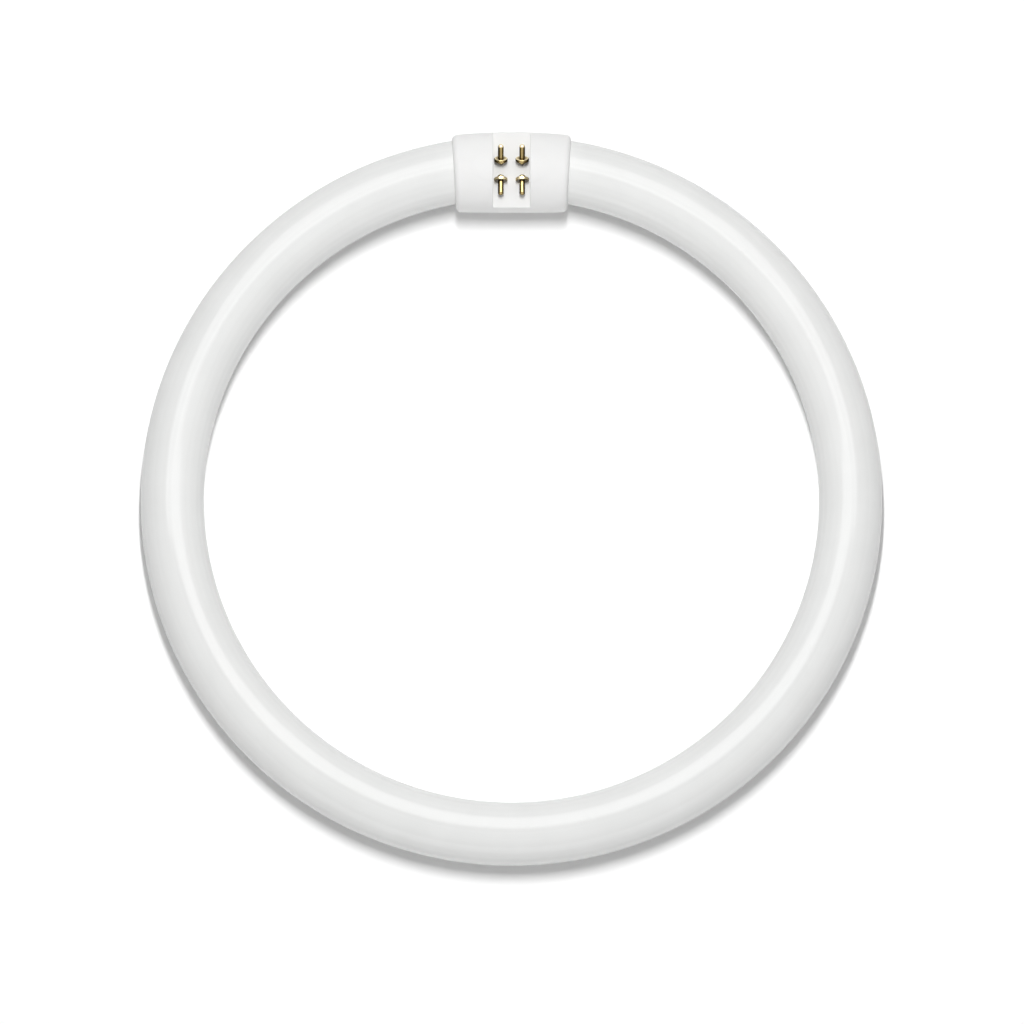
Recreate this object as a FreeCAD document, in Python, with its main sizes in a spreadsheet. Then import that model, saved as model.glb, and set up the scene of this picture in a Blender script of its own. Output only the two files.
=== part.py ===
import FreeCAD, Part
import math
import os

import Sketcher

# Circular fluorescent tube with a four-pin base. Millimetres, +Z up.
# The origin is the centre of the ring, on the middle plane of the glass. The base is on the +Y side.

doc = FreeCAD.newDocument("ring_lamp")

# Driving dimensions
sizes = {
    # glass ring
    "ring_outer_diameter": 305.0,
    "tube_diameter": 26.0,
    "seal_round": 5.0,
    "seal_rim": 1.5,
    "flare_throat_share": 0.62,
    "flare_depth": 8.0,
    "exhaust_tip_share": 0.5,
    "exhaust_tip_length": 4.0,
    "glass_end_gap": 2.4,
    # housing of the base
    "glass_clearance": 0.15,
    "glass_air": 1.6,
    "housing_wall": 2.0,
    "shoulder_length": 16.2,
    "barrel_crown": 0.74,
    "barrel_bend": 0.46,
    "end_face_angle": 3.5,
    "end_round": 2.4,
    "rib_width": 1.6,
    "rib_place": 7.0,
    # recess, with a floor that carries the pins
    "collar_side_gap": 0.4,
    "floor_height": 5.5,
    "floor_thickness": 1.8,
    "edge_round": 0.4,
    # contact pins: the outer ones lean away from the ring's centre, the inner ones towards it
    "pin_spacing": 8.8,
    "outer_tilt": 57.5,
    "outer_collar_height": 3.5,
    "outer_collar_place": 4.35,
    "inner_tilt": 81.5,
    "inner_collar_height": 3.2,
    "inner_collar_place": 5.25,
    "pin_diameter": 2.35,
    "pin_length": 6.1,
    "collar_diameter": 5.6,
    "collar_thickness": 1.4,
    "collar_round": 0.4,
    "neck_diameter": 2.8,
    "neck_length": 1.35,
    "neck_round": 1.0,
    "stem_diameter": 1.8,
    "stem_back": 1.9,
    "tail_diameter": 1.4,
    "tail_proud": 0.5,
    "tail_bore_depth": 1.8,
    "pin_hole_clearance": 0.03,
    # lead wires
    "lead_diameter": 0.6,
    "lead_clearance": 0.05,
    "lead_rise": 42.0,
    "lead_bend": 0.9,
    # snap hooks that join the two halves of the housing
    "hook_width": 8.0,
    "hook_thickness": 1.2,
    "hook_catch": 0.6,
    "hook_catch_height": 1.0,
    "hook_root": 6.0,
    "hook_clearance": 0.3,
}

sheet = doc.addObject("Spreadsheet::Sheet", "sizes")
for row, (alias, value) in enumerate(sizes.items(), start=1):
    sheet.set(f"A{row}", alias.replace("_", " "))
    sheet.set(f"B{row}", str(value))
    sheet.setAlias(f"B{row}", alias)
doc.recompute()


def named(text):
    """Writes each size's name in an expression as a cell of the sheet."""
    words = sorted(sizes, key=len, reverse=True)
    out = text
    for number, word in enumerate(words):
        out = out.replace(word, f"<{number}>")
    for number, word in enumerate(words):
        out = out.replace(f"<{number}>", f"sizes.{word}")
    return out


def value_of(text):
    """The value of an expression of the sheet's sizes, as a plain number."""
    result = sheet.evalExpression(named(text))
    return float(getattr(result, "Value", result))


# Lengths worked out from the driving dimensions
ring_radius = "((ring_outer_diameter - tube_diameter) / 2)"
seat_radius = "(tube_diameter / 2 + glass_clearance)"
cavity_radius = "(tube_diameter / 2 + glass_air)"
barrel_radius = "(tube_diameter / 2 + glass_air + housing_wall)"
recess_half = "(pin_spacing / 2 + collar_diameter / 2 + collar_side_gap)"
half_length = f"({recess_half} + shoulder_length)"
chamber_half = f"({recess_half} + housing_wall)"
flare_mouth = "(tube_diameter / 2 - seal_round - seal_rim)"
flare_throat = f"({flare_mouth} * flare_throat_share)"
exhaust_radius = f"({flare_throat} * exhaust_tip_share)"
lead_spread = f"(({flare_throat} + {exhaust_radius}) / 2)"
end_angle = f"asin({half_length} / {ring_radius})"
barrel_far = f"({half_length} + {barrel_radius} * tan(end_face_angle) + 1)"
base_axis_y = f"({ring_radius} * cos({end_angle}))"
glass_end_length = f"(({half_length} - {chamber_half} - glass_end_gap) / cos({end_angle}))"
floor_under = "(floor_height - floor_thickness)"
hook_top = f"({floor_under} - 2 * hook_clearance)"
hook_face = f"(sqrt({cavity_radius} ^ 2 - {hook_top} ^ 2) - hook_clearance)"


def collar_z(row):
    """The height of the middle of a row's collars, at their front faces."""
    return f"(floor_height + {row}_collar_height)"


def stem_y(row):
    """How far a row's stems are from the barrel's axis."""
    return f"({row}_collar_place - stem_back * sin({row}_tilt))"


def plane_of(body, role):
    """One of the body's own origin planes."""
    return next(item for item in body.Origin.OriginFeatures if item.Role == role)


def outline(body, name, role, loops, arcs=None):
    """A closed sketch. Each loop lists its corners as pairs of expressions. An arc is named by (loop, edge)
    and gives its radius and the side that it bulges to, +1 for the left of its direction."""
    arcs = arcs or {}
    sketch = body.newObject("Sketcher::SketchObject", name)
    sketch.AttachmentSupport = [(plane_of(body, role), "")]
    sketch.MapMode = "FlatFace"
    for loop_number, corners in enumerate(loops):
        points = [FreeCAD.Vector(value_of(u), value_of(v), 0) for u, v in corners]
        ends = []
        for number, start in enumerate(points):
            finish = points[(number + 1) % len(points)]
            arc = arcs.get((loop_number, number))
            if arc is None:
                edge = sketch.addGeometry(Part.LineSegment(start, finish), False)
                ends.append((edge, 1, 2))
                continue
            radius = value_of(arc[0])
            chord = finish - start
            side = FreeCAD.Vector(-chord.y, chord.x, 0).normalize() * arc[1]
            sag = radius - math.sqrt(radius**2 - (chord.Length / 2) ** 2)
            middle = (start + finish) / 2 + side * sag
            forward = arc[1] < 0
            first, last = (start, finish) if forward else (finish, start)
            edge = sketch.addGeometry(Part.Arc(first, middle, last), False)
            ends.append((edge, 1, 2) if forward else (edge, 2, 1))
            place = sketch.addConstraint(Sketcher.Constraint("Radius", edge, radius))
            sketch.setExpression(f"Constraints[{place}]", named(arc[0]))
        for number, (edge, first, last) in enumerate(ends):
            following = ends[(number + 1) % len(ends)]
            sketch.addConstraint(Sketcher.Constraint("Coincident", edge, last, following[0], following[1]))
            for kind, text in zip(("DistanceX", "DistanceY"), corners[number]):
                at = Sketcher.Constraint(kind, -1, 1, edge, first, value_of(text))
                place = sketch.addConstraint(at)
                sketch.setExpression(f"Constraints[{place}]", named(text))
    doc.recompute()
    return sketch


def turned(body, name, kind, sketch, axis):
    """A full Revolution or Groove about one of the sketch's own axes."""
    feature = body.newObject(f"PartDesign::{kind}", name)
    feature.Profile = sketch
    feature.ReferenceAxis = (sketch, [axis])
    feature.Angle = 360
    doc.recompute()
    return feature


def pushed(body, name, kind, sketch, length, middle=False, back=False):
    """A Pad or a Pocket of a stated length."""
    feature = body.newObject(f"PartDesign::{kind}", name)
    feature.Profile = sketch
    feature.SideType = "Symmetric" if middle else "One side"
    feature.Reversed = back
    feature.setExpression("Length", named(length))
    doc.recompute()
    return feature


def rounded(body, name, radius, wanted):
    """A Fillet on each edge of the body's tip that the wanted test picks by points along it."""
    base = body.Tip
    picked = []
    for number, edge in enumerate(base.Shape.Edges, start=1):
        first, last = edge.ParameterRange
        spots = [edge.valueAt(first + (last - first) * share) for share in (0.02, 0.35, 0.65, 0.98)]
        if wanted(spots):
            picked.append(f"Edge{number}")
    feature = body.newObject("PartDesign::Fillet", name)
    feature.Base = (base, picked)
    feature.setExpression("Radius", named(radius))
    doc.recompute()
    return feature


def bored(body, name, radius, length, place):
    """A round hole, cut by a cylinder with its own placement."""
    feature = body.newObject("PartDesign::SubtractiveCylinder", name)
    feature.setExpression("Radius", named(radius))
    feature.setExpression("Height", named(length))
    feature.Placement = place
    doc.recompute()
    return feature


def put(item, x, y, z):
    """Binds an object's place to the sheet."""
    for letter, text in zip("xyz", (x, y, z)):
        item.setExpression(f"Placement.Base.{letter}", named(text))


def turn(item, axis, angle):
    """Binds an object's turn about one axis to the sheet."""
    item.Placement = FreeCAD.Placement(item.Placement.Base, FreeCAD.Rotation(FreeCAD.Vector(*axis), 1))
    item.setExpression("Placement.Rotation.Angle", named(angle))


# Glass ring: a bent tube with two straight sealed ends, each with its flare and exhaust tip
def make_glass_end(side):
    """One straight end, turned about its own axis. Local +Z runs out of the tube towards the base."""
    body = doc.addObject("PartDesign::Body", f"glass_end_{side}")
    tube = "(tube_diameter / 2)"
    tip = exhaust_radius
    shoulder = f"({glass_end_length} - seal_round)"
    bottom = f"({glass_end_length} - flare_depth)"
    tip_end = f"({glass_end_length} + exhaust_tip_length)"
    corners = [
        ("0", "0"),
        (tube, "0"),
        (tube, shoulder),
        (f"{tube} - seal_round", glass_end_length),
        (flare_mouth, glass_end_length),
        (flare_throat, bottom),
        (tip, bottom),
        (tip, f"{tip_end} - {tip}"),
        ("0", tip_end),
    ]
    arcs = {(0, 2): ("seal_round", -1), (0, 7): (tip, -1)}
    profile = outline(body, f"glass_end_{side}_profile", "XZ_Plane", [corners], arcs)
    turned(body, f"glass_end_{side}_turn", "Revolution", profile, "V_Axis")
    sign = 1 if side == "right" else -1
    put(body, f"{sign} * {half_length}", base_axis_y, "0")
    heading = FreeCAD.Rotation(FreeCAD.Vector(0, 0, 1), FreeCAD.Vector(-sign, 0, 0))
    lean = FreeCAD.Rotation(FreeCAD.Vector(0, 0, 1), -sign * value_of(end_angle))
    body.Placement = FreeCAD.Placement(body.Placement.Base, lean * heading)
    return body


def make_glass_tube():
    ring = doc.addObject("Part::Torus", "glass_ring")
    ring.setExpression("Radius1", named(ring_radius))
    ring.setExpression("Radius2", named("tube_diameter / 2"))
    ring.setExpression("Angle3", named(f"360 deg - 2 * {end_angle}"))
    turn(ring, (0, 0, 1), f"90 deg + {end_angle}")
    ends = [make_glass_end(side) for side in ("left", "right")]
    tube = doc.addObject("Part::MultiFuse", "glass_tube")
    tube.Shapes = [ring] + ends
    tube.Refine = True
    tube.Label = "glass_tube"
    return tube


# Housing of the base: a crowned barrel in two halves, parted on the ring's middle plane
def barrel_section(body, name, place):
    """A round section of the barrel. The place is its share of the length, -1 to +1, past the end faces."""
    sketch = body.newObject("Sketcher::SketchObject", name)
    sketch.AttachmentSupport = [(plane_of(body, "YZ_Plane"), "")]
    sketch.MapMode = "FlatFace"
    sketch.setExpression("AttachmentOffset.Base.z", named(f"{place} * {barrel_far}"))
    drop = f"({place} ^ 2 * ({barrel_far} / {half_length}) ^ 2)"
    centre = f"(-barrel_bend * {drop})"
    radius = f"({barrel_radius} - barrel_crown * {drop})"
    middle = FreeCAD.Vector(value_of(centre), 0, 0)
    edge = sketch.addGeometry(Part.Circle(middle, FreeCAD.Vector(0, 0, 1), value_of(radius)), False)
    for kind, text in (("DistanceX", centre), ("DistanceY", "0")):
        at = sketch.addConstraint(Sketcher.Constraint(kind, -1, 1, edge, 3, value_of(text)))
        sketch.setExpression(f"Constraints[{at}]", named(text))
    at = sketch.addConstraint(Sketcher.Constraint("Radius", edge, value_of(radius)))
    sketch.setExpression(f"Constraints[{at}]", named(radius))
    doc.recompute()
    return sketch


def make_barrel_half(body, name, up):
    """The solid barrel, cut to its slanted end faces and rounded at both ends, then cut to one half."""
    sections = [barrel_section(body, f"{name}_section_{place + 1}", place) for place in (-1, 0, 1)]
    barrel = body.newObject("PartDesign::AdditiveLoft", f"{name}_barrel")
    barrel.Profile = sections[0]
    barrel.Sections = sections[1:]
    doc.recompute()
    reach = f"(2 * {barrel_radius})"
    rise = f"({reach} * tan(end_face_angle))"
    loops = []
    for side in (1, -1):
        loops.append(
            [
                (f"{side} * ({half_length} - {rise})", f"-{reach}"),
                (f"{side} * ({half_length} + {rise})", reach),
                (f"{side} * 2 * {half_length}", reach),
                (f"{side} * 2 * {half_length}", f"-{reach}"),
            ]
        )
    plan = outline(body, f"{name}_end_plan", "XY_Plane", loops)
    pushed(body, f"{name}_end_cut", "Pocket", plan, f"4 * {barrel_radius}", middle=True)
    half = value_of(half_length)
    slope = math.tan(math.radians(sizes["end_face_angle"]))
    rim = 0.8 * value_of(barrel_radius)

    def on_end_rim(spots):
        on_face = all(abs(abs(p.x) - half - p.y * slope) < 0.01 for p in spots)
        return on_face and all(math.hypot(p.y, p.z) > rim for p in spots)

    rounded(body, f"{name}_end_rounding", "end_round", on_end_rim)
    wide = f"(2 * {half_length})"
    corners = [(f"-{wide}", f"-{reach}"), (wide, f"-{reach}"), (wide, reach), (f"-{wide}", reach)]
    plan = outline(body, f"{name}_half_plan", "XY_Plane", [corners])
    pushed(body, f"{name}_half_cut", "Pocket", plan, reach, back=up < 0)


def hollow_barrel(body, name, inner):
    """The space round each glass end, with a rib between that holds the glass. It starts at the inner length."""
    rib_start = f"({chamber_half} + rib_place)"
    rib_end = f"({chamber_half} + rib_place + rib_width)"
    wall = f"({half_length} - housing_wall - {cavity_radius} * tan(end_face_angle))"
    loops = []
    for start, finish in ((inner, rib_start), (rib_end, wall)):
        for side in (1, -1):
            if start == "0" and side == -1:
                continue
            near = f"-{finish}" if start == "0" else f"{side} * {start}"
            loops.append(
                [
                    (near, "0"),
                    (f"{side} * {finish}", "0"),
                    (f"{side} * {finish}", cavity_radius),
                    (near, cavity_radius),
                ]
            )
    profile = outline(body, f"{name}_hollow_profile", "XZ_Plane", loops)
    turned(body, f"{name}_hollow", "Groove", profile, "H_Axis")


def seat_glass(body, name):
    """The holes through the end walls and the ribs that the glass ends sit in."""
    for side, word in ((1, "right"), (-1, "left")):
        heading = FreeCAD.Rotation(FreeCAD.Vector(0, 0, 1), FreeCAD.Vector(-side, 0, 0))
        lean = FreeCAD.Rotation(FreeCAD.Vector(0, 0, 1), -side * value_of(end_angle))
        rotation = lean * heading
        start = FreeCAD.Vector(side * value_of(half_length), 0, 0)
        back = rotation.multVec(FreeCAD.Vector(0, 0, -value_of(half_length)))
        place = FreeCAD.Placement(start + back, rotation)
        length = f"({half_length} + {glass_end_length})"
        bored(body, f"{name}_seat_{word}", seat_radius, length, place)


pins = {
    "pin_outer_left": (-1, "outer"),
    "pin_outer_right": (1, "outer"),
    "pin_inner_left": (-1, "inner"),
    "pin_inner_right": (1, "inner"),
}


def make_upper_housing():
    """The half with the recess, whose floor carries the pins."""
    name = "base_upper_housing"
    body = doc.addObject("PartDesign::Body", name)
    body.Label = name
    make_barrel_half(body, name, 1)
    hollow_barrel(body, name, chamber_half)

    # chamber under the floor of the recess
    chamber_side = f"sqrt({cavity_radius} ^ 2 - {floor_under} ^ 2)"
    corners = [
        (f"-{cavity_radius}", "0"),
        (cavity_radius, "0"),
        (chamber_side, floor_under),
        (f"-{chamber_side}", floor_under),
    ]
    arcs = {(0, 1): (cavity_radius, -1), (0, 3): (cavity_radius, -1)}
    profile = outline(body, f"{name}_chamber_profile", "YZ_Plane", [corners], arcs)
    pushed(body, f"{name}_chamber", "Pocket", profile, f"2 * {chamber_half}", middle=True)

    # recess
    beyond = f"({barrel_radius} + housing_wall)"
    corners = [
        (f"-{recess_half}", "floor_height"),
        (recess_half, "floor_height"),
        (recess_half, beyond),
        (f"-{recess_half}", beyond),
    ]
    profile = outline(body, f"{name}_recess_profile", "XZ_Plane", [corners])
    pushed(body, f"{name}_recess", "Pocket", profile, f"2 * {beyond}", middle=True)

    # edges of the recess
    half = value_of(recess_half)
    floor = sizes["floor_height"]

    def on_recess_edge(spots):
        on_side = all(abs(abs(p.x) - half) < 0.01 for p in spots)
        inside = value_of(barrel_radius) - sizes["barrel_crown"] - sizes["barrel_bend"]
        on_barrel = all(math.hypot(p.y, p.z) > inside and p.z > floor - 0.01 for p in spots)
        on_floor_end = on_barrel and all(abs(p.z - floor) < 0.01 for p in spots)
        across = abs(spots[0].x - spots[-1].x) > 1
        return (on_side and on_barrel) or (on_floor_end and across)

    rounded(body, f"{name}_edge_rounding", "edge_round", on_recess_edge)

    # pockets that the snap hooks catch in
    catch_low = f"({hook_top} - 2 * hook_catch_height)"
    deep = f"({hook_face} + 2 * hook_clearance + hook_catch)"
    loops = []
    for row in (1, -1):
        loops.append(
            [
                (f"{row} * ({hook_face} - hook_thickness)", catch_low),
                (f"{row} * {deep}", catch_low),
                (f"{row} * {deep}", floor_under),
                (f"{row} * ({hook_face} - hook_thickness)", floor_under),
            ]
        )
    profile = outline(body, f"{name}_catch_profile", "YZ_Plane", loops)
    width = "(hook_width + 2 * hook_clearance)"
    pushed(body, f"{name}_catch", "Pocket", profile, width, middle=True)

    seat_glass(body, name)
    for pin, (side, row) in pins.items():
        away = 1 if row == "outer" else -1
        across = side * value_of("pin_spacing / 2")
        spot = FreeCAD.Vector(across, away * value_of(stem_y(row)), value_of(f"{floor_under} - floor_thickness"))
        radius = "tail_diameter / 2 + pin_hole_clearance"
        place = FreeCAD.Placement(spot, FreeCAD.Rotation())
        bored(body, f"{name}_{pin}_hole", radius, "3 * floor_thickness", place)
    put(body, "0", base_axis_y, "0")
    return body


def make_lower_housing():
    """The plain half, with two hooks that rise into the other one."""
    name = "base_lower_housing"
    body = doc.addObject("PartDesign::Body", name)
    body.Label = name
    make_barrel_half(body, name, -1)
    hollow_barrel(body, name, "0")
    seat_glass(body, name)
    back = f"({hook_face} - hook_thickness)"
    catch = f"({hook_face} + hook_clearance + hook_catch)"
    catch_low = f"({hook_top} - hook_catch_height)"
    loops = []
    for row in (1, -1):
        loops.append(
            [
                (f"{row} * {back}", "-hook_root"),
                (f"{row} * {back}", hook_top),
                (f"{row} * {hook_face}", hook_top),
                (f"{row} * {catch}", catch_low),
                (f"{row} * {hook_face}", f"{catch_low} - hook_catch / 2"),
                (f"{row} * {hook_face}", "-hook_root"),
            ]
        )
    profile = outline(body, f"{name}_hook_profile", "YZ_Plane", loops)
    pushed(body, f"{name}_hooks", "Pad", profile, "hook_width", middle=True)
    put(body, "0", base_axis_y, "0")
    return body


# Contact pins: a shank, a collar and a rounded neck on one leaning axis. An upright stem under the neck stands
# on the floor of the recess, and its thinner tail goes through it and is bored for the lead.
def make_pin(name, side, row):
    """The pin's own axis is local Z, with the origin in the middle of the collar's front face."""
    body = doc.addObject("PartDesign::Body", name)
    body.Label = name
    shank = "(pin_diameter / 2)"
    neck = "(neck_diameter / 2)"
    collar = "(collar_diameter / 2)"
    back = "(collar_thickness + neck_length)"
    corners = [
        ("0", f"-{back}"),
        (f"{neck} - neck_round", f"-{back}"),
        (neck, f"neck_round - {back}"),
        (neck, "-collar_thickness"),
        (f"{collar} - collar_round", "-collar_thickness"),
        (collar, "collar_round - collar_thickness"),
        (collar, "-collar_round"),
        (f"{collar} - collar_round", "0"),
        (shank, "0"),
        (shank, f"pin_length - {shank}"),
        ("0", "pin_length"),
    ]
    arcs = {
        (0, 1): ("neck_round", -1),
        (0, 4): ("collar_round", -1),
        (0, 6): ("collar_round", -1),
        (0, 9): (shank, -1),
    }
    profile = outline(body, f"{name}_profile", "XZ_Plane", [corners], arcs)
    turned(body, f"{name}_turn", "Revolution", profile, "V_Axis")

    # upright stem and tail, laid out in the leaning body's own frame
    away = 1 if row == "outer" else -1
    tilt = value_of(f"{row}_tilt")
    upright = FreeCAD.Rotation(FreeCAD.Vector(1, 0, 0), away * tilt)
    down = upright.multVec(FreeCAD.Vector(0, 0, -1))
    start = FreeCAD.Vector(0, 0, -sizes["stem_back"])
    floor_drop = f"({row}_collar_height - stem_back * cos({row}_tilt))"
    tail_drop = f"({floor_drop} + floor_thickness + tail_proud)"
    for part, radius, reach in (("stem", "stem_diameter / 2", floor_drop), ("tail", "tail_diameter / 2", tail_drop)):
        feature = body.newObject("PartDesign::AdditiveCylinder", f"{name}_{part}")
        feature.setExpression("Radius", named(radius))
        feature.setExpression("Height", named(reach))
        feature.Placement = FreeCAD.Placement(start + down * value_of(reach), upright)
        doc.recompute()
    foot = FreeCAD.Placement(start + down * value_of(tail_drop), upright)
    bored(body, f"{name}_bore", "lead_diameter / 2 + lead_clearance", "tail_bore_depth", foot)
    put(body, f"{side} * pin_spacing / 2", f"{base_axis_y} + {away} * {row}_collar_place", collar_z(row))
    turn(body, (-away, 0, 0), f"{row}_tilt")
    return body


# Lead wires: from the foot of each flare, through the chamber, up into a pin's tail
def bent_path(points, radii):
    """Straight runs through the points, with a tangent arc at each inner point."""
    edges = []
    start = points[0]
    for before, corner, after, radius in zip(points, points[1:], points[2:], radii):
        inward = (before - corner).normalize()
        outward = (after - corner).normalize()
        half_angle = inward.getAngle(outward) / 2
        reach = radius / math.tan(half_angle)
        bisector = (inward + outward).normalize()
        centre = corner + bisector * (radius / math.sin(half_angle))
        first = corner + inward * reach
        last = corner + outward * reach
        middle = centre - bisector * radius
        edges.append(Part.LineSegment(start, first).toShape())
        edges.append(Part.Arc(first, middle, last).toShape())
        start = last
    edges.append(Part.LineSegment(start, points[-1]).toShape())
    return Part.Wire(edges)


def make_lead(name, side, row):
    axis_y = value_of(base_axis_y)
    angle = value_of(end_angle)
    turn_end = FreeCAD.Rotation(FreeCAD.Vector(0, 0, 1), -side * angle)
    out = turn_end.multVec(FreeCAD.Vector(-side, 0, 0))
    mouth = FreeCAD.Vector(side * value_of(half_length), axis_y, 0) + out * value_of(glass_end_length)
    away = 1 if row == "outer" else -1
    beside = turn_end.multVec(FreeCAD.Vector(0, away * value_of(f"{lead_spread} * cos(lead_rise)"), 0))
    offset = beside + FreeCAD.Vector(0, 0, value_of(f"{lead_spread} * sin(lead_rise)"))
    across = side * value_of("pin_spacing / 2")
    along = axis_y + away * value_of(stem_y(row))
    bore_end = value_of(f"{floor_under} - tail_proud + tail_bore_depth")
    points = [
        mouth - out * sizes["flare_depth"] + offset,
        mouth + out * (sizes["lead_diameter"] / 2) + offset,
        FreeCAD.Vector(across, along, offset.z),
        FreeCAD.Vector(across, along, bore_end),
    ]
    path = bent_path(points, [sizes["lead_bend"], sizes["lead_bend"]])
    section = Part.Wire(Part.Circle(points[0], out, sizes["lead_diameter"] / 2).toShape())
    wire = doc.addObject("Part::Feature", name)
    wire.Shape = path.makePipeShell([section], True, True, 2)
    wire.Label = name
    length = path.Length
    thickness = math.pi * sizes["lead_diameter"] ** 2 / 4
    print(f"{name}: {length:.1f} mm long, volume {wire.Shape.Volume:.3f}, section by length {thickness * length:.3f}")
    return wire


parts = [make_glass_tube(), make_upper_housing(), make_lower_housing()]
parts += [make_pin(name, side, row) for name, (side, row) in pins.items()]
parts += [make_lead(name.replace("pin", "lead_wire"), side, row) for name, (side, row) in pins.items()]

doc.recompute()
failed = [item.Name for item in doc.Objects if {"Invalid", "Error"} & set(item.State)]
if failed:
    raise RuntimeError(f"objects that failed: {failed}")
for item in parts:
    if item.Shape.isNull() or not item.Shape.isValid():
        raise RuntimeError(f"{item.Label} has no valid shape")

os.makedirs("parts", exist_ok=True)
for item in parts:
    item.Shape.exportStep(f"parts/{item.Label}.step")
    print(f"{item.Label}: {len(item.Shape.Solids)} solid, {item.Shape.Volume:.1f} cubic mm")
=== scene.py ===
import math

import bmesh
import bpy
from mathutils import Matrix, Vector


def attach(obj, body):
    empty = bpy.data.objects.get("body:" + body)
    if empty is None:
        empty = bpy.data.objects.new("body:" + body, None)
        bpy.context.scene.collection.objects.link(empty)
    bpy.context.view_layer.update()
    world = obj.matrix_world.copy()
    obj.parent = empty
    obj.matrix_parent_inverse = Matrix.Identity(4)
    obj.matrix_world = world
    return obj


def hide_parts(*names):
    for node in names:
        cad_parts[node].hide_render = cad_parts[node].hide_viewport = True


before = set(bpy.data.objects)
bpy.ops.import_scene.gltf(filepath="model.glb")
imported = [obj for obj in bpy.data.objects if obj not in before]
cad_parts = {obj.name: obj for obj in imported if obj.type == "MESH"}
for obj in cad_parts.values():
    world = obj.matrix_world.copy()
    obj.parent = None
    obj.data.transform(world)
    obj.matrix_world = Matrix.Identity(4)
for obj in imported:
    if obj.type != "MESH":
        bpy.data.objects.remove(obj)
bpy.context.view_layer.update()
scene = bpy.context.scene
scene.view_settings.view_transform = "Standard"
print("frame loaded:", len(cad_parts), "nodes")


# helpers for node trees
mixSockets = {"share": 0, "first": 6, "second": 7, "result": 2}  # colour sockets of the Mix node
noiseMiddle = (0.3, 0.7)  # a noise keeps nearly all its values between these
white = (1.0, 1.0, 1.0, 1.0)


class NodeWork:
    def __init__(self, tree):
        self.nodes = tree.nodes
        self.links = tree.links

    def add(self, kind, inputs=None, **settings):
        node = self.nodes.new(kind)
        for name, value in settings.items():
            setattr(node, name, value)
        for name, source in (inputs or {}).items():
            self.join(source, node.inputs[name])
        return node

    def join(self, source, socket):
        if isinstance(source, bpy.types.NodeSocket):
            self.links.new(source, socket)
        else:
            socket.default_value = source

    def calc(self, operation, *values):
        return self.add("ShaderNodeMath", dict(enumerate(values)), operation=operation).outputs[0]

    def square(self, value):
        return self.calc("MULTIPLY", value, value)

    def weigh(self, *shares):
        whole = 0.0
        for value, weight in shares:
            whole = self.calc("MULTIPLY_ADD", value, weight, whole)
        return whole

    def gather(self, x, y, z):
        return self.add("ShaderNodeCombineXYZ", {0: x, 1: y, 2: z}).outputs[0]

    def split(self, vector):
        return self.add("ShaderNodeSeparateXYZ", {0: vector}).outputs

    def noise(self, vector, scale, detail):
        inputs = {"Vector": vector, "Scale": scale, "Detail": detail}
        return self.add("ShaderNodeTexNoise", inputs).outputs[0]

    def spread(self, value, span, target=(0.0, 1.0)):
        inputs = {"Value": value, "From Min": span[0], "From Max": span[1]}
        inputs.update({"To Min": target[0], "To Max": target[1]})
        return self.add("ShaderNodeMapRange", inputs, interpolation_type="SMOOTHSTEP").outputs[0]

    def blend(self, share, first, second):
        node = self.add("ShaderNodeMix", data_type="RGBA")
        for name, source in (("share", share), ("first", first), ("second", second)):
            colour = (*source, 1.0) if isinstance(source, tuple) else source
            self.join(colour, node.inputs[mixSockets[name]])
        return node.outputs[mixSockets["result"]]

    def bump(self, height, distance, under=None):
        inputs = {"Height": height, "Distance": distance}
        if under is not None:
            inputs["Normal"] = under
        return self.add("ShaderNodeBump", inputs).outputs[0]

    def seenBy(self, *rays):
        path = self.add("ShaderNodeLightPath").outputs
        share = path[rays[0]]
        for ray in rays[1:]:
            share = self.calc("MAXIMUM", share, path[ray])
        return share

    def mixShaders(self, share, first, second):
        return self.add("ShaderNodeMixShader", {0: share, 1: first, 2: second}).outputs[0]


def startMaterial(name, settings):
    material = bpy.data.materials.new(name)
    material.use_nodes = True
    work = NodeWork(material.node_tree)
    shader = work.nodes["Principled BSDF"]
    for socket, value in settings.items():
        shader.inputs[socket].default_value = value
    coords = work.add("ShaderNodeTexCoord").outputs
    return material, work, shader, coords


def startTree(name, inputs):
    tree = bpy.data.node_groups.new(name, "GeometryNodeTree")
    tree.interface.new_socket("Geometry", in_out="OUTPUT", socket_type="NodeSocketGeometry")
    for label, kind in inputs.items():
        tree.interface.new_socket(label, in_out="INPUT", socket_type=kind)
    work = NodeWork(tree)
    given = work.add("NodeGroupInput").outputs
    return tree, work, given


def finishTree(work, geometry, material):
    whole = work.add("GeometryNodeRealizeInstances", {"Geometry": geometry}).outputs[0]
    inputs = {"Geometry": whole, "Material": material}
    dressed = work.add("GeometryNodeSetMaterial", inputs).outputs[0]
    work.add("NodeGroupOutput", {"Geometry": dressed})


def runTree(name, tree, values):
    host = bpy.data.objects.new(name + "Host", bpy.data.meshes.new(name + "Host"))
    scene.collection.objects.link(host)
    modifier = host.modifiers.new(name, "NODES")
    modifier.node_group = tree
    for item in tree.interface.items_tree:
        if item.in_out == "INPUT":
            modifier[item.identifier] = values[item.name]
    ready = host.evaluated_get(bpy.context.evaluated_depsgraph_get())
    mesh = bpy.data.meshes.new_from_object(ready)
    bpy.data.objects.remove(host)
    return mesh


def placePiece(name, mesh, replaced, sharpAngle):
    mesh.name = name
    mesh.shade_smooth()
    mesh.set_sharp_from_angle(angle=math.radians(sharpAngle))
    piece = bpy.data.objects.new(name, mesh)
    scene.collection.objects.link(piece)
    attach(piece, "root")
    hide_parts(*replaced)


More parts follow.
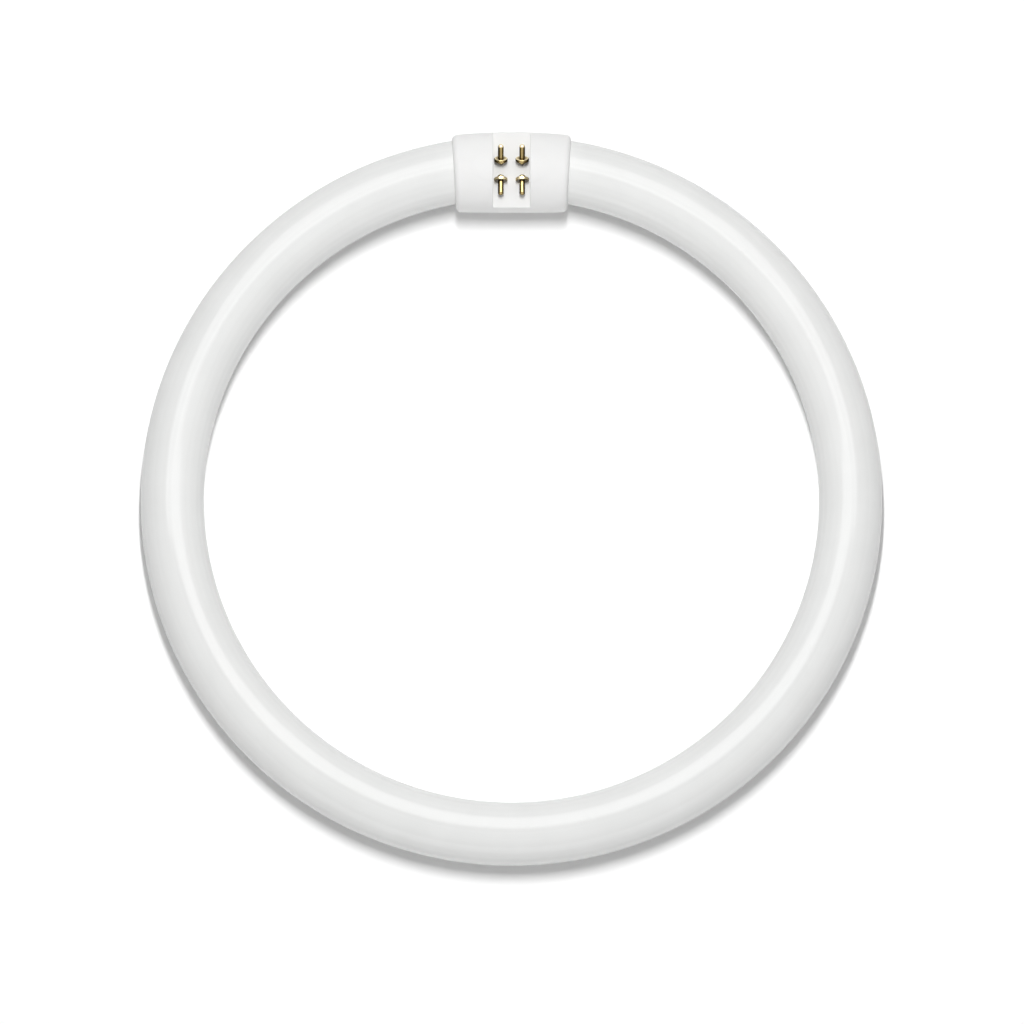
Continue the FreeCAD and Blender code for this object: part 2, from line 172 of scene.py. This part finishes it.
# helpers for turned shapes
def arcPoints(centre, radius, start, finish, steps):
    points = []
    for step in range(steps + 1):
        angle = math.radians(start + (finish - start) * step / steps)
        across = centre[0] + radius * math.cos(angle)
        points.append((across, centre[1] + radius * math.sin(angle)))
    return points


def bridge(form, first, second):
    # faces between two rings, where a ring of one corner is a pole
    count = max(len(first), len(second))
    for step in range(count):
        corners = []
        places = ((first, step), (first, step + 1), (second, step + 1), (second, step))
        for ring, place in places:
            corner = ring[place % len(ring)]
            if corner not in corners:
                corners.append(corner)
        form.faces.new(corners)


# each vertex gets the painted lighting value that the given function returns for its spot on the
# profile
def addLathe(form, profile, steps, place, worn):
    floats = form.verts.layers.float
    layer = floats.get("worn") or floats.new("worn")
    rings = []
    for radius, along in profile:
        count = 1 if radius == 0 else steps
        ring = []
        for step in range(count):
            angle = 2 * math.pi * step / count
            spot = Vector((radius * math.cos(angle), radius * math.sin(angle), along))
            corner = form.verts.new(place @ spot)
            corner[layer] = worn(radius, along)
            ring.append(corner)
        rings.append(ring)
    for first, second in zip(rings, rings[1:]):
        bridge(form, first, second)


print("helpers ready")


# camera: nearly straight above, from a long way off
cameraSetup = {
    "elevation": 79.3,  # degrees above the floor
    "viewWidth": 0.4212,  # metres across the picture
    "lookAt": (0.0002, -0.00465, 0.0),
    "distance": 3.0,
}


def makeCamera(setup):
    data = bpy.data.cameras.new("camera")
    data.type = "ORTHO"
    data.ortho_scale = setup["viewWidth"]
    camera = bpy.data.objects.new("camera", data)
    scene.collection.objects.link(camera)
    tilt = math.radians(setup["elevation"])
    back = Vector((0.0, -math.cos(tilt), math.sin(tilt)))
    camera.location = Vector(setup["lookAt"]) + back * setup["distance"]
    camera.rotation_euler = (math.radians(90 - setup["elevation"]), 0.0, 0.0)
    scene.camera = camera


makeCamera(cameraSetup)


# light: each lamp stands north of straight overhead by an angle and covers a half width each way,
# all in degrees; evenLight is the share of white that it gives a flat surface
lightSetup = {
    "distance": 3.0,
    "lamps": {
        "keyLamp": {  # makes the short soft shadow
            "north": 10.0,
            "halfEast": 1.2,
            "halfNorth": 9.5,
            "evenLight": 0.64,
            "glossy": False,
        },
        "wideBox": {  # only shows as the highlight along the glass and on the pins
            "north": 29.5,
            "halfEast": 27.0,
            "halfNorth": 20.5,
            "radiance": 4.2,
            "diffuse": False,
        },
        "northSoft": {
            "north": 32.0,
            "halfEast": 35.0,
            "halfNorth": 24.0,
            "evenLight": 0.19,
            "glossy": False,
        },
        "southFill": {"north": -75.0, "halfEast": 40.0, "halfNorth": 10.0, "evenLight": 0.07},
    },
    "surround": 0.25,
    "background": 1.0,
}


def makeLamp(name, sizes, distance):
    lean = math.radians(sizes["north"])
    data = bpy.data.lights.new(name, "AREA")
    data.shape = "RECTANGLE"
    data.size = 2 * distance * math.tan(math.radians(sizes["halfEast"]))
    data.size_y = 2 * distance * math.tan(math.radians(sizes["halfNorth"]))
    area = data.size * data.size_y
    radiance = sizes.get("radiance")
    if radiance is None:
        radiance = sizes["evenLight"] * math.pi * distance**2 / (area * math.cos(lean))
    data.energy = radiance * math.pi * area
    lamp = bpy.data.objects.new(name, data)
    scene.collection.objects.link(lamp)
    lamp.location = Vector((0.0, math.sin(lean), math.cos(lean))) * distance
    lamp.rotation_euler = (-lean, 0.0, 0.0)
    lamp.visible_glossy = sizes.get("glossy", True)
    lamp.visible_diffuse = sizes.get("diffuse", True)


def makeSurround(setup):
    world = bpy.data.worlds.new("surround")
    scene.world = world
    world.use_nodes = True
    work = NodeWork(world.node_tree)
    work.nodes.clear()
    glows = []
    for strength in (setup["surround"], setup["background"]):
        glow = work.add("ShaderNodeBackground", {"Color": white, "Strength": strength})
        glows.append(glow.outputs[0])
    share = work.seenBy("Is Camera Ray", "Is Glossy Ray", "Is Transmission Ray")
    work.add("ShaderNodeOutputWorld", {"Surface": work.mixShaders(share, *glows)})


for lampName, lampSizes in lightSetup["lamps"].items():
    makeLamp(lampName, lampSizes, lightSetup["distance"])
makeSurround(lightSetup)


# floor: it leans as a flat surface does under the ring, which rests on its base and its far side
floorSetup = {
    "halfSize": 0.7,
    "lowestBase": -0.0166,
    "lowestGlass": -0.013,
    "glassY": -0.1395,
    "baseY": 0.1375,
    "gap": 0.0001,
    "plain": 0.92,
    "seen": 1.0,  # the camera sees the floor as white
}


def makeFloorMaterial(setup):
    material = bpy.data.materials.new("paleFloor")
    material.use_nodes = True
    work = NodeWork(material.node_tree)
    work.nodes.clear()
    paints = []
    for tone in (setup["plain"], setup["seen"]):
        paint = work.add("ShaderNodeBsdfDiffuse", {"Color": (tone, tone, tone, 1.0)})
        paints.append(paint.outputs[0])
    share = work.seenBy("Is Camera Ray")
    work.add("ShaderNodeOutputMaterial", {"Surface": work.mixShaders(share, *paints)})
    return material


def makeFloor(setup):
    rise = setup["lowestBase"] - setup["lowestGlass"]
    slope = rise / (setup["baseY"] - setup["glassY"])
    reach = setup["halfSize"]
    corners = []
    for x, y in ((-reach, -reach), (reach, -reach), (reach, reach), (-reach, reach)):
        height = setup["lowestGlass"] + slope * (y - setup["glassY"]) - setup["gap"]
        corners.append((x, y, height))
    mesh = bpy.data.meshes.new("floor")
    mesh.from_pydata(corners, [], [(0, 1, 2, 3)])
    mesh.materials.append(makeFloorMaterial(setup))
    floor = bpy.data.objects.new("floor", mesh)
    scene.collection.objects.link(floor)


makeFloor(floorSetup)
print("camera, lights and floor made")


# glass ring: white powder behind a clear wall, with faint draw lines along the tube
glass = {
    "ringRadius": 0.1395,
    "tubeRadius": 0.013,
    "halfGap": 0.0238,  # from the middle of the base to where the bend ends
    "straight": 0.006975,  # straight part at each end, before the seal
    "stepsAlong": 640,
    "stepsRound": 88,
    "sealRound": 0.005,
    "sealSteps": 8,
    "flareMouth": 0.0065,
    "flareThroat": 0.00403,
    "flareDepth": 0.008,
    "tipRadius": 0.002015,
    "tipLength": 0.004,
    "tipArc": 80,  # degrees of the tip's round before its pole
    "tipSteps": 6,
    "sharpAngle": 35,
    "shader": {
        "Specular IOR Level": 0.12,
        "Coat Weight": 0.45,
        "Coat Roughness": 0.07,
        "Coat IOR": 1.5,
    },
    "powderLight": (0.80, 0.805, 0.797),
    "powderDark": (0.755, 0.76, 0.752),
    "roughness": (0.44, 0.56),
    "lines": (520.0, 3.0),  # scale and detail of each noise
    "clouds": (55.0, 3.0),
    "grain": (2600.0, 1.0),
    "lineShare": 0.45,
    "cloudShare": 0.4,
    "grainShare": 0.15,
    "lineBump": 0.00002,
    "grainBump": 0.000004,
}


def makeGlassMaterial(setup):
    material, work, shader, coords = startMaterial("coatedGlass", setup["shader"])
    place = coords["Object"]
    x, y, z = work.split(place)
    outward = work.calc("SQRT", work.calc("ADD", work.square(x), work.square(y)))
    lines = work.noise(work.gather(outward, z, 0.0), *setup["lines"])
    clouds = work.noise(place, *setup["clouds"])
    grain = work.noise(place, *setup["grain"])
    patterns = ((clouds, "cloudShare"), (lines, "lineShare"), (grain, "grainShare"))
    share = work.weigh(*((pattern, setup[name]) for pattern, name in patterns))
    tone = work.blend(work.spread(share, noiseMiddle), setup["powderDark"], setup["powderLight"])
    work.join(tone, shader.inputs["Base Color"])
    work.join(work.spread(clouds, noiseMiddle, setup["roughness"]), shader.inputs["Roughness"])
    work.join(work.bump(lines, setup["lineBump"]), shader.inputs["Coat Normal"])
    work.join(work.bump(grain, setup["grainBump"]), shader.inputs["Normal"])
    return material


def makeTubeTree():
    # a line of points is bent to the ring, with a straight piece at each end, and gets a round wall
    inputs = {
        "Ring Radius": "NodeSocketFloat",
        "Tube Radius": "NodeSocketFloat",
        "Half Gap": "NodeSocketFloat",
        "Straight End": "NodeSocketFloat",
        "Steps Along": "NodeSocketInt",
        "Steps Round": "NodeSocketInt",
        "Glass": "NodeSocketMaterial",
    }
    tree, work, given = startTree("bentTube", inputs)
    radius, steps = given["Ring Radius"], given["Steps Along"]
    gapAngle = work.calc("ARCSINE", work.calc("DIVIDE", given["Half Gap"], radius))
    bent = work.calc("MULTIPLY", work.calc("SUBTRACT", math.pi, gapAngle), radius)
    half = work.calc("ADD", bent, given["Straight End"])
    index = work.add("GeometryNodeInputIndex").outputs[0]
    share = work.calc("SUBTRACT", work.calc("DIVIDE", index, steps), 0.5)
    along = work.calc("MULTIPLY", work.calc("MULTIPLY", share, half), 2.0)
    notPast = work.calc("MINIMUM", along, bent)
    onBend = work.calc("MAXIMUM", notPast, work.calc("MULTIPLY", bent, -1.0))
    past = work.calc("SUBTRACT", along, onBend)
    angle = work.calc("DIVIDE", onBend, radius)
    sine, cosine = work.calc("SINE", angle), work.calc("COSINE", angle)
    x = work.calc("ADD", work.calc("MULTIPLY", radius, sine), work.calc("MULTIPLY", past, cosine))
    y = work.calc(
        "SUBTRACT", work.calc("MULTIPLY", past, sine), work.calc("MULTIPLY", radius, cosine)
    )
    line = work.add("GeometryNodeMeshLine", {"Count": work.calc("ADD", steps, 1.0)}).outputs[0]
    ring = {"Geometry": line, "Position": work.gather(x, y, 0.0)}
    path = work.add("GeometryNodeSetPosition", ring).outputs[0]
    curve = work.add("GeometryNodeMeshToCurve", {"Mesh": path}).outputs[0]
    outline = {"Resolution": given["Steps Round"], "Radius": given["Tube Radius"]}
    circle = work.add("GeometryNodeCurvePrimitiveCircle", outline).outputs[0]
    wall = {"Curve": curve, "Profile Curve": circle}
    tube = work.add("GeometryNodeCurveToMesh", wall).outputs[0]
    finishTree(work, tube, given["Glass"])
    return tree


def borderLoops(form):
    left = [edge for edge in form.edges if edge.is_boundary]
    loops = []
    while left:
        loop = list(left.pop().verts)
        while loop[-1] is not loop[0]:
            edge = next(edge for edge in loop[-1].link_edges if edge in left)
            left.remove(edge)
            loop.append(edge.other_vert(loop[-1]))
        loops.append(loop[:-1])
    return loops


def middleOf(corners):
    return sum((corner.co for corner in corners), Vector()) / len(corners)


def nextInside(corner):
    return next(edge.other_vert(corner) for edge in corner.link_edges if not edge.is_boundary)


def sealEnds(mesh, setup):
    # each open end gets its rounded seal, the hollow of the flare and the exhaust tip
    tube, seal, tip = setup["tubeRadius"], setup["sealRound"], setup["tipRadius"]
    bottom = seal - setup["flareDepth"]
    peak = seal + setup["tipLength"]
    profile = arcPoints((tube - seal, 0.0), seal, 0, 90, setup["sealSteps"])[1:]
    profile += [(setup["flareMouth"], seal), (setup["flareThroat"], bottom), (tip, bottom)]
    profile += arcPoints((0.0, peak - tip), tip, 0, setup["tipArc"], setup["tipSteps"])
    profile += [(0.0, peak)]
    form = bmesh.new()
    form.from_mesh(mesh)
    for loop in borderLoops(form):
        centre = middleOf(loop)
        outward = (centre - middleOf([nextInside(corner) for corner in loop])).normalized()
        spokes = [(corner.co - centre) / tube for corner in loop]
        last = loop
        for radius, along in profile:
            middle = centre + outward * along
            if radius == 0:
                ring = [form.verts.new(middle)]
            else:
                ring = [form.verts.new(middle + spoke * radius) for spoke in spokes]
            bridge(form, last, ring)
            last = ring
    bmesh.ops.recalc_face_normals(form, faces=form.faces)
    form.to_mesh(mesh)
    form.free()


glassMaterial = makeGlassMaterial(glass)
tubeValues = {
    "Ring Radius": glass["ringRadius"],
    "Tube Radius": glass["tubeRadius"],
    "Half Gap": glass["halfGap"],
    "Straight End": glass["straight"],
    "Steps Along": glass["stepsAlong"],
    "Steps Round": glass["stepsRound"],
    "Glass": glassMaterial,
}
glassMesh = runTree("bentTube", makeTubeTree(), tubeValues)
sealEnds(glassMesh, glass)
placePiece("glassTube", glassMesh, ["glass_tube"], glass["sharpAngle"])
print("glass tube made:", len(glassMesh.polygons), "faces")


# contact pins: shank, collar and rounded neck on one leaning axis, on an upright stem
pin = {
    "baseAxisY": 0.1374548,
    "floorHeight": 0.0055,
    "tailEnd": 0.0032,
    "spacing": 0.0088,
    "radius": 0.001175,
    "length": 0.0061,
    "tipArc": 81,  # degrees of the tip's round before its pole
    "tipSteps": 10,
    "collarRadius": 0.0028,
    "collarThickness": 0.0014,
    "collarRound": 0.0004,
    "collarSteps": 5,
    "neckRadius": 0.0014,
    "neckEnd": 0.00275,
    "neckRound": 0.001,
    "neckSteps": 10,
    "stemBack": 0.0019,
    "stemRadius": 0.0009,
    "tailRadius": 0.0007,
    "boreRadius": 0.00035,
    "boreDepth": 0.0018,
    "stepsRound": 56,
    "sharpAngle": 35,
    "neckRing": 0.0001,  # narrow ring of faces in the corner behind the collar
    "shankRing": 0.0004,  # the same in the corner in front of it
    # painted shade in the corners beside the collar and on the stem under the neck
    "neckCornerShade": 0.6,
    "shankCornerShade": 0.5,
    "stemShade": 0.3,
    "shader": {"Metallic": 1.0},
    # painted light on the brass: a painted highlight colour, the painted lit top, the mid tone, and
    # painted shade for sides and corners
    "paintedHighlight": (0.90, 0.78, 0.50),
    "paintedLitBrass": (0.44, 0.335, 0.15),
    "middle": (0.30, 0.215, 0.08),
    "paintedShade": (0.06, 0.042, 0.012),
    "roughness": (0.12, 0.24),
    "clouds": (900.0, 3.0),  # scale and detail of each noise
    "rings": (6000.0, 2.0),
    "ringBump": 0.000004,
    "cloudShare": 0.25,
    "highlightSideShade": 0.5,  # share of the painted side shade that stays under a painted highlight
    "southSpan": (-0.6, -1.0),  # from where to where a south face counts as a side and takes painted shade
    "middleSpan": (0.2, 0.5),  # from where to where the sides lose their painted lit tone
    "shadeSpan": (0.45, 0.9),  # from where to where they go over to painted shade
    "rows": {  # a value above 0 is painted shade, below 0 a painted highlight
        "outer": {
            "lean": 57.5,  # degrees from upright
            "place": 0.00435,  # from the base's middle line
            "height": 0.0035,  # above the recess's floor
            "away": 1,  # 1 leans away from the ring's middle, -1 towards it
            "neckLighting": -0.1,
            "rimLighting": 0.15,
            "faceLighting": -1.0,
            "tipLighting": -0.9,
        },
        "inner": {
            "lean": 81.5,
            "place": 0.00525,
            "height": 0.0032,
            "away": -1,
            "neckLighting": -0.5,
            "rimLighting": -1.0,
            "faceLighting": 0.3,
            "tipLighting": 0.1,
        },
    },
}


def makeBrassMaterial(setup):
    material, work, shader, coords = startMaterial("pinBrass", setup["shader"])
    # the faces turned east, west and south get painted shade and the top stays lighter, as the
    # lamps from the north light it
    east, north = work.split(coords["Normal"])[0:2]
    worn = work.add("ShaderNodeAttribute", attribute_name="worn").outputs["Fac"]
    # negative per-vertex values give the share of painted highlight
    paintedShine = work.calc("MAXIMUM", work.calc("MULTIPLY", worn, -1.0), 0.0)
    kept = work.spread(paintedShine, (0.0, 1.0), (1.0, setup["highlightSideShade"]))
    eastSide = work.calc("MULTIPLY", work.calc("ABSOLUTE", east), kept)
    side = work.calc("MAXIMUM", eastSide, work.spread(north, setup["southSpan"]))
    clouds = work.noise(coords["Object"], *setup["clouds"])
    rings = work.noise(coords["Object"], *setup["rings"])
    # painted shade share from the sides and the corner values, with random mottle mixed in
    shadeAndMottle = work.spread(work.weigh((clouds, setup["cloudShare"]), (side, 1.0)), setup["shadeSpan"])
    shadeAndMottle = work.calc("MAXIMUM", shadeAndMottle, worn)
    fade = work.spread(side, setup["middleSpan"])
    litTone = work.blend(fade, setup["paintedLitBrass"], setup["middle"])
    litTone = work.blend(paintedShine, litTone, setup["paintedHighlight"])
    # painted shade laid over the painted lit tone
    work.join(work.blend(shadeAndMottle, litTone, setup["paintedShade"]), shader.inputs["Base Color"])
    work.join(work.spread(clouds, noiseMiddle, setup["roughness"]), shader.inputs["Roughness"])
    work.join(work.bump(rings, setup["ringBump"]), shader.inputs["Normal"])
    return material


# painted lighting for a spot on the pin's profile: painted shade in the corners behind and in front
# of the collar, and per row a painted highlight or painted shade on neck, rim, face and tip
def pinLighting(setup, row, radius, along):
    behind, near = -setup["collarThickness"], setup["neckRing"]
    if along < behind - 2 * near:
        return row["neckLighting"]
    if along <= behind:
        return setup["neckCornerShade"]
    if along < -near:
        return row["rimLighting"]
    if along < near:
        onCollar = radius > setup["radius"] + 2 * setup["shankRing"]
        return row["faceLighting"] if onCollar else setup["shankCornerShade"]
    return row["tipLighting"] if along > setup["length"] - setup["radius"] else 0.0


def pinProfile(setup):
    # from the rounded end of the neck over the collar to the pin's tip
    collar, thickness, soft = setup["collarRadius"], setup["collarThickness"], setup["collarRound"]
    neck, end, neckSoft = setup["neckRadius"], setup["neckEnd"], setup["neckRound"]
    shank, length, corner = setup["radius"], setup["length"], setup["shankRing"]
    steps = setup["collarSteps"]
    profile = [(0.0, -end)]
    profile += arcPoints((neck - neckSoft, neckSoft - end), neckSoft, -90, 0, setup["neckSteps"])
    profile += [(neck, -thickness - setup["neckRing"]), (neck, -thickness)]
    profile += [(collar - soft, -thickness)]
    profile += arcPoints((collar - soft, soft - thickness), soft, -90, 0, steps)[1:]
    profile += arcPoints((collar - soft, -soft), soft, 0, 90, steps)
    profile += [(shank + corner, 0.0), (shank, 0.0), (shank, corner), (shank, length / 2)]
    profile += arcPoints((0.0, length - shank), shank, 0, setup["tipArc"], setup["tipSteps"])
    return profile + [(0.0, length)]


def stemProfile(setup, rise):
    # from the bore in the tail, round the tail's end, up to where the stem meets the neck
    reach = setup["floorHeight"] - setup["tailEnd"]
    stem, tail, bore = setup["stemRadius"], setup["tailRadius"], setup["boreRadius"]
    boreTop = setup["boreDepth"] - reach
    profile = [(0.0, boreTop), (bore, boreTop), (bore, -reach), (tail, -reach)]
    return profile + [(tail, 0.0), (stem, 0.0), (stem, rise), (0.0, rise)]


def makePinBlank(name, setup, row):
    def rowLighting(radius, along):
        return pinLighting(setup, row, radius, along)

    # the stem under the neck gets an even painted shade
    def stemShade(radius, along):
        return setup["stemShade"]

    tilt = Matrix.Rotation(-row["away"] * math.radians(row["lean"]), 4, "X")
    form = bmesh.new()
    addLathe(form, pinProfile(setup), setup["stepsRound"], tilt, rowLighting)
    start = tilt @ Vector((0.0, 0.0, -setup["stemBack"]))
    rise = row["height"] + start.z
    place = Matrix.Translation(Vector((0.0, start.y, start.z - rise)))
    addLathe(form, stemProfile(setup, rise), setup["stepsRound"] // 2, place, stemShade)
    bmesh.ops.recalc_face_normals(form, faces=form.faces)
    mesh = bpy.data.meshes.new(name)
    form.to_mesh(mesh)
    form.free()
    blank = bpy.data.objects.new(name, mesh)
    scene.collection.objects.link(blank)
    return blank


def makePinTree():
    inputs = {
        "Pin": "NodeSocketObject",
        "Spacing": "NodeSocketFloat",
        "Place": "NodeSocketFloat",
        "Height": "NodeSocketFloat",
        "Brass": "NodeSocketMaterial",
    }
    tree, work, given = startTree("pinRow", inputs)
    west = work.calc("MULTIPLY", given["Spacing"], -0.5)
    line = {
        "Count": 2,
        "Start Location": work.gather(west, given["Place"], given["Height"]),
        "Offset": work.gather(given["Spacing"], 0.0, 0.0),
    }
    places = work.add("GeometryNodeMeshLine", line).outputs[0]
    shape = work.add("GeometryNodeObjectInfo", {"Object": given["Pin"]}).outputs["Geometry"]
    pins = {"Points": places, "Instance": shape}
    row = work.add("GeometryNodeInstanceOnPoints", pins).outputs[0]
    finishTree(work, row, given["Brass"])
    return tree


brassMaterial = makeBrassMaterial(pin)
pinTree = makePinTree()
for rowName, row in pin["rows"].items():
    blank = makePinBlank(rowName + "Blank", pin, row)
    rowValues = {
        "Pin": blank,
        "Spacing": pin["spacing"],
        "Place": pin["baseAxisY"] + row["away"] * row["place"],
        "Height": pin["floorHeight"] + row["height"],
        "Brass": brassMaterial,
    }
    rowMesh = runTree(rowName + "Pins", pinTree, rowValues)
    bpy.data.objects.remove(blank)
    replaced = [f"pin_{rowName}_left", f"pin_{rowName}_right"]
    placePiece(rowName + "Pins", rowMesh, replaced, pin["sharpAngle"])
    print(rowName, "pins made:", len(rowMesh.polygons), "faces")


# moulded base: the CAD halves keep their shape and get a white plastic
plastic = {
    "shader": {
        "Specular IOR Level": 0.07,
        "Subsurface Weight": 0.08,
        "Subsurface Radius": (1.0, 0.95, 0.9),
        "Subsurface Scale": 0.0006,
    },
    "light": (0.85, 0.85, 0.845),
    "dark": (0.83, 0.83, 0.825),
    "roughness": (0.42, 0.5),
    "flow": (45.0, 3.0),  # scale and detail of each noise
    "grain": (2400.0, 2.0),
    "flowShare": 0.7,
    "grainShare": 0.3,
    "grainBump": 0.000006,
    "ovalX": 0.0165,  # a faint oval step on the shoulders
    "ovalY": 0.0079,
    "ovalEdge": (0.85, 1.2),
    "ovalHeights": (0.008, 0.012),
    "ovalStep": 0.00014,
    "axisY": pin["baseAxisY"],
}


def makePlasticMaterial(setup):
    material, work, shader, coords = startMaterial("whitePlastic", setup["shader"])
    place = coords["Object"]
    x, y, z = work.split(place)
    flow = work.noise(place, *setup["flow"])
    grain = work.noise(place, *setup["grain"])
    share = work.weigh((flow, setup["flowShare"]), (grain, setup["grainShare"]))
    tone = work.blend(work.spread(share, noiseMiddle), setup["dark"], setup["light"])
    work.join(tone, shader.inputs["Base Color"])
    work.join(work.spread(flow, noiseMiddle, setup["roughness"]), shader.inputs["Roughness"])
    reachX = work.square(work.calc("DIVIDE", x, setup["ovalX"]))
    fromAxis = work.calc("SUBTRACT", y, setup["axisY"])
    reachY = work.square(work.calc("DIVIDE", fromAxis, setup["ovalY"]))
    oval = work.spread(work.calc("ADD", reachX, reachY), setup["ovalEdge"], (1.0, 0.0))
    upper = work.spread(z, setup["ovalHeights"])
    step = work.bump(work.calc("MULTIPLY", oval, upper), setup["ovalStep"])
    work.join(work.bump(grain, setup["grainBump"], step), shader.inputs["Normal"])
    return material


# lead wires: drawn metal, hidden in the base
wire = {
    "shader": {"Metallic": 1.0},
    "light": (0.66, 0.65, 0.63),
    "dark": (0.42, 0.41, 0.40),
    "roughness": (0.28, 0.45),
    "marks": (1600.0, 3.0),  # scale and detail of the noise
    "markSpan": (0.35, 0.65),
    "markBump": 0.00001,
}


def makeWireMaterial(setup):
    material, work, shader, coords = startMaterial("leadMetal", setup["shader"])
    marks = work.noise(coords["Object"], *setup["marks"])
    tone = work.blend(work.spread(marks, setup["markSpan"]), setup["dark"], setup["light"])
    work.join(tone, shader.inputs["Base Color"])
    work.join(work.spread(marks, noiseMiddle, setup["roughness"]), shader.inputs["Roughness"])
    work.join(work.bump(marks, setup["markBump"]), shader.inputs["Normal"])
    return material


finishes = {
    "base": makePlasticMaterial(plastic),
    "lead": makeWireMaterial(wire),
    "pin": brassMaterial,
    "glass": glassMaterial,
}
for nodeName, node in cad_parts.items():
    node.data.materials.clear()
    node.data.materials.append(finishes[nodeName.split("_")[0]])
print("materials placed on the CAD nodes")
